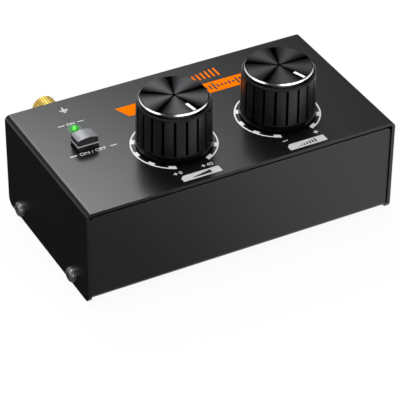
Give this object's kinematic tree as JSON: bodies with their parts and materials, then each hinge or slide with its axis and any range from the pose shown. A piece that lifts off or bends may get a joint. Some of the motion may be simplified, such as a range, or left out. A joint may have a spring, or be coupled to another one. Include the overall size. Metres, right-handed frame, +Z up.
{
  "type": "phono preamp",
  "caption": "Small turntable preamp in a folded black steel case, with fluted gain and volume knobs, a latching power button and lamp on top, and phono, line, power and ground jacks behind.",
  "frame": {"origin": "middle of the outline seen from above, at the underside of the rubber feet", "axes": "+X to the right along the case seen from the front, +Y from the front panel to the rear jacks, +Z up"},
  "size_m": [0.1238, 0.0764, 0.0585],
  "materials": {
    "cover_steel": "satin black powder coat, fine grain",
    "chassis_steel": "satin black powder coat, fine grain",
    "black_screw": "black oxide, glossy dome",
    "zinc_steel": "bright zinc plating",
    "foot_rubber": "matt black rubber",
    "board_green": "green solder mask, slightly glossy",
    "black_nylon": "matt black moulded plastic",
    "gold_plate": "gold plating",
    "nickel": "nickel plating",
    "die_cast": "dull zinc die casting",
    "knob_black": "glossy black moulded plastic",
    "knob_cap_metal": "black anodised, spun face, bright turned edge",
    "white_inlay": "white filled line",
    "button_black": "dark grey glossy plastic",
    "lamp_green": "clear green lamp, lit",
    "spacer_black": "black nylon",
    "core_red": "red insulator",
    "core_white": "white insulator",
    "brass_turned": "turned brass, lightly polished",
    "can_sleeve": "shrink sleeve on an aluminium can",
    "film_red": "epoxy-dipped film capacitor",
    "chip_black": "black epoxy package",
    "resistor_blue": "blue lacquer",
    "print_white": "white screen print, 0.03 mm",
    "print_orange": "orange screen print, 0.03 mm",
    "print_black": "black screen print, 0.03 mm"
  },
  "bodies": {
    "case": {"board_screws": "zinc_steel", "board_standoffs": "zinc_steel", "chassis": "chassis_steel", "control_board": "board_green", "cover_screws": "black_screw", "dc_jack": "black_nylon", "dc_pin": "nickel", "electrolytic_capacitors": "can_sleeve", "film_capacitors": "film_red", "gain_pot_body": "die_cast", "gain_pot_bushing": "die_cast", "gain_pot_nut": "zinc_steel", "gain_pot_terminals": "zinc_steel", "gain_pot_washer": "zinc_steel", "ground_lock_nut": "nickel", "ground_seat_nut": "brass_turned", "ground_stud": "brass_turned", "ground_washer": "brass_turned", "lamp_legs": "zinc_steel", "lamp_spacer": "spacer_black", "link_pins": "gold_plate", "link_socket": "black_nylon", "main_board": "board_green", "op_amps": "chip_black", "power_lamp": "lamp_green", "rca_in_contacts": "gold_plate", "rca_in_cores": "core_white", "rca_in_housing": "black_nylon", "rca_in_sleeves": "gold_plate", "rca_out_contacts": "gold_plate", "rca_out_cores": "core_red", "rca_out_housing": "black_nylon", "rca_out_sleeves": "gold_plate", "rear_screws": "black_screw", "resistors": "resistor_blue", "rubber_feet": "foot_rubber", "switch_body": "black_nylon", "top_cover": "cover_steel", "trs_jack": "black_nylon", "trs_nut": "nickel", "trs_washer": "nickel", "voltage_regulator": "chip_black", "volume_pot_body": "die_cast", "volume_pot_bushing": "die_cast", "volume_pot_nut": "zinc_steel", "volume_pot_terminals": "zinc_steel", "volume_pot_washer": "zinc_steel"},
    "gain_control": {"gain_knob": "knob_black", "gain_knob_cap": "knob_cap_metal", "gain_pointer": "white_inlay", "gain_pot_shaft": "zinc_steel"},
    "volume_control": {"volume_knob": "knob_black", "volume_knob_cap": "knob_cap_metal", "volume_pointer": "white_inlay", "volume_pot_shaft": "zinc_steel"},
    "button": {"power_button": "button_black", "switch_plunger": "black_nylon"},
    "thumb_nut": {"ground_thumb_nut": "brass_turned"}
  },
  "joints": [
    {"name": "gain_turn", "type": "hinge", "parent": "case", "child": "gain_control", "pos_m": [-0.015, -0.0142, 0.0385], "axis": [0, 0, 1], "range_deg": [0, 300]},
    {"name": "volume_turn", "type": "hinge", "parent": "case", "child": "volume_control", "pos_m": [0.026, -0.0142, 0.0385], "axis": [0, 0, 1], "range_deg": [0, 300]},
    {"name": "power_press", "type": "slide", "parent": "case", "child": "button", "axis": [0, 0, 1], "range_m": [-0.0005, 0.0015], "stiffness_N_per_m": 600},
    {"name": "ground_nut_turn", "type": "hinge", "parent": "case", "child": "thumb_nut", "pos_m": [-0.0415, 0.0277, 0.032], "axis": [0, 1, 0], "range_deg": [0, 180]}
  ]
}
